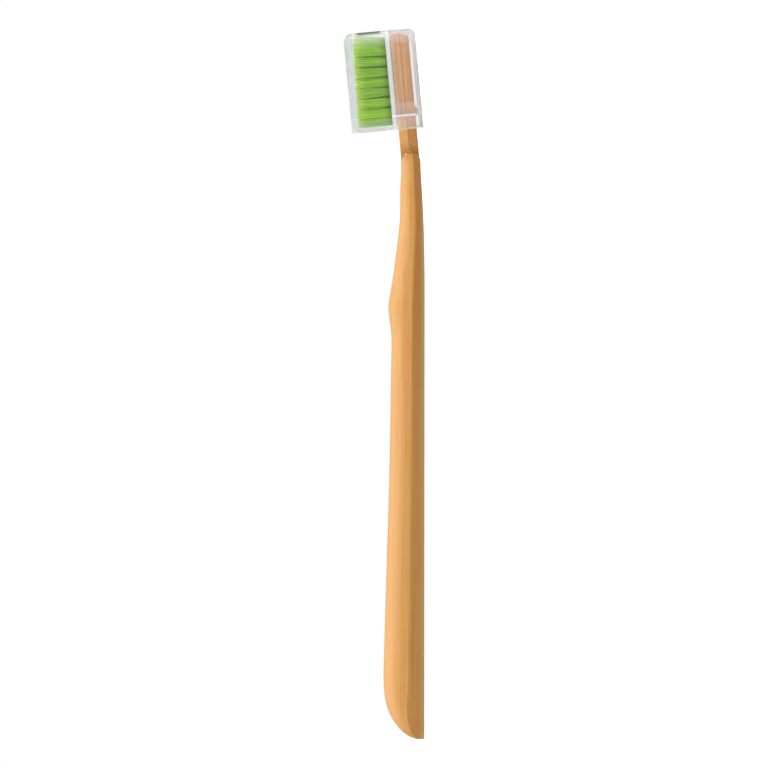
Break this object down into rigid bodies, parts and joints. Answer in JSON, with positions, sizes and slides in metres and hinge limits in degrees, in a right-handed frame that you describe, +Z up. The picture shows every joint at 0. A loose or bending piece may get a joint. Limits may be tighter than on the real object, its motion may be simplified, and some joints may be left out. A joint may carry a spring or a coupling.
{
  "type": "manual toothbrush",
  "caption": "Manual toothbrush: rounded handle with a thumb bump and flat back, tilted plug-in head with bristle tufts held by brass anchors, and a clear slip-on cap.",
  "frame": {"origin": "on the table, under the middle of the capped brush lying on its back", "axes": "+X from the tail to the head, +Y across, +Z up, the way the bristles point"},
  "size_m": [0.192, 0.0144, 0.0216],
  "materials": {
    "handle": "satin golden brown with fine lengthwise streaks",
    "brush_head": "satin golden brown",
    "bristle": "fresh green nylon, paler at the tips",
    "anchor_brass": "bare",
    "clear_cap": "clear, glossy"
  },
  "bodies": {
    "handle": {"handle": "handle"},
    "head": {"brush_head": "brush_head", "tuft_anchors": "anchor_brass", "tuft_row1_1": "bristle", "tuft_row2_1": "bristle", "tuft_row2_2": "bristle", "tuft_row3_1": "bristle", "tuft_row3_2": "bristle", "tuft_row3_3": "bristle", "tuft_row4_1": "bristle", "tuft_row4_2": "bristle", "tuft_row5_1": "bristle", "tuft_row5_2": "bristle", "tuft_row5_3": "bristle", "tuft_row6_1": "bristle", "tuft_row6_2": "bristle", "tuft_row7_1": "bristle", "tuft_row7_2": "bristle", "tuft_row7_3": "bristle", "tuft_row8_1": "bristle", "tuft_row8_2": "bristle", "tuft_row9_1": "bristle", "tuft_row9_2": "bristle", "tuft_row9_3": "bristle", "tuft_row10_1": "bristle", "tuft_row10_2": "bristle", "tuft_row11_1": "bristle", "tuft_row11_2": "bristle", "tuft_row11_3": "bristle", "tuft_row12_1": "bristle", "tuft_row12_2": "bristle", "tuft_row13_1": "bristle", "tuft_row13_2": "bristle", "tuft_row13_3": "bristle", "tuft_row14_1": "bristle", "tuft_row14_2": "bristle", "tuft_row15_1": "bristle", "tuft_row15_2": "bristle", "tuft_row15_3": "bristle", "tuft_row16_1": "bristle", "tuft_row16_2": "bristle", "tuft_row17_1": "bristle"},
    "cap": {"cap": "clear_cap"}
  },
  "joints": [
    {"name": "head_pull", "type": "slide", "parent": "handle", "child": "head", "axis": [0.9957, 0, 0.0924], "range_m": [0, 0.022]},
    {"name": "cap_slide", "type": "slide", "parent": "head", "child": "cap", "axis": [0.9957, 0, 0.0924], "range_m": [0, 0.034]}
  ]
}
